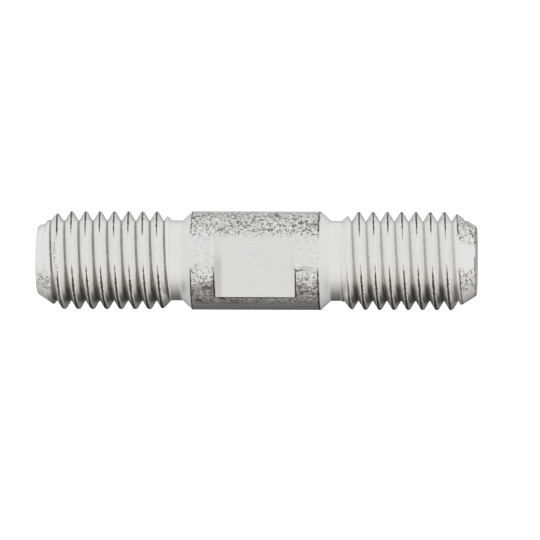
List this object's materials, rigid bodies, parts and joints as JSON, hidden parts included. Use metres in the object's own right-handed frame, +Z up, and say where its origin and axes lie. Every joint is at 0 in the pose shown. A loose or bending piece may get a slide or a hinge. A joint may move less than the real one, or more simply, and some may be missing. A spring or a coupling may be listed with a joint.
{
  "type": "double-ended threaded stud",
  "caption": "Double-ended stud with coarse right-hand threads, relief necks and a plain collar with two opposite spanner flats, for clamping with a nut.",
  "frame": {"origin": "middle of the lower end face, which is the bottom of the stud as it stands on its end", "axes": "+Z up along the stud's axis, +Y and -Y square out of the two spanner flats"},
  "size_m": [0.0138, 0.0138, 0.0617],
  "materials": {
    "coated_steel": "pale grey matt coating on steel, worn through in fine dark specks on the collar, the points and the thread crests"
  },
  "bodies": {
    "root": {"stud": "coated_steel"}
  },
  "joints": []
}
